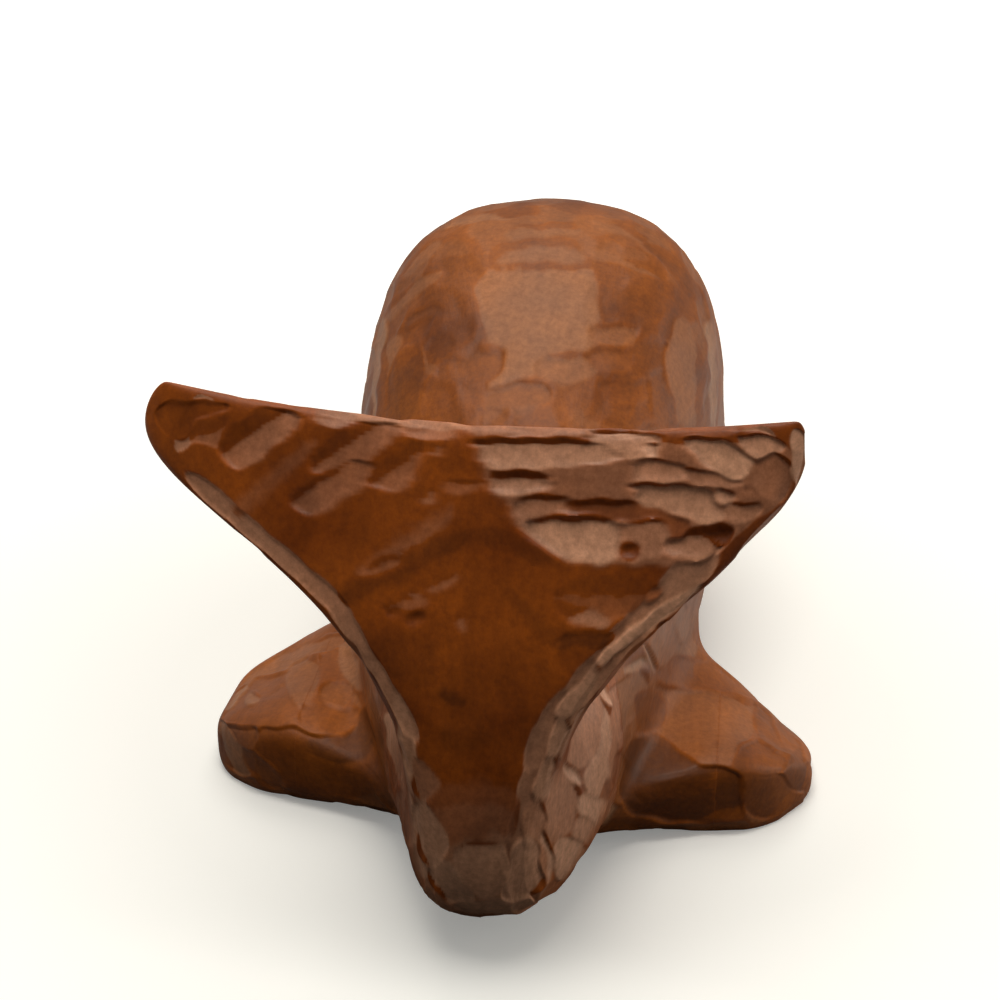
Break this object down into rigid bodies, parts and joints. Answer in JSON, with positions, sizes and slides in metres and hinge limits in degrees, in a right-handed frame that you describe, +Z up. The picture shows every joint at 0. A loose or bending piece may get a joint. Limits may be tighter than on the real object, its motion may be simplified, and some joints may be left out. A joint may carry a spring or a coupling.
{
  "type": "carved whale figurine",
  "caption": "Hand-carved wooden whale with a raised back, two short flippers resting on the surface and broad upturned flukes.",
  "frame": {"origin": "point on the ground under the trunk, on the middle plane, in the flat that the whale rests on", "axes": "+Y towards the nose, +X towards the whale's right flipper, +Z up"},
  "size_m": [0.1235, 0.1768, 0.1096],
  "materials": {
    "carved_wood": "satin, waxed, with tool marks",
    "dowel_wood": "bare",
    "eye_wood": "polished"
  },
  "bodies": {
    "root": {"trunk": "carved_wood", "tail": "carved_wood", "left_flipper": "carved_wood", "right_flipper": "carved_wood", "left_eye": "eye_wood", "right_eye": "eye_wood", "tail_dowel_lower": "dowel_wood", "tail_dowel_upper": "dowel_wood", "left_flipper_dowel_front": "dowel_wood", "left_flipper_dowel_rear": "dowel_wood", "right_flipper_dowel_front": "dowel_wood", "right_flipper_dowel_rear": "dowel_wood"}
  },
  "joints": []
}
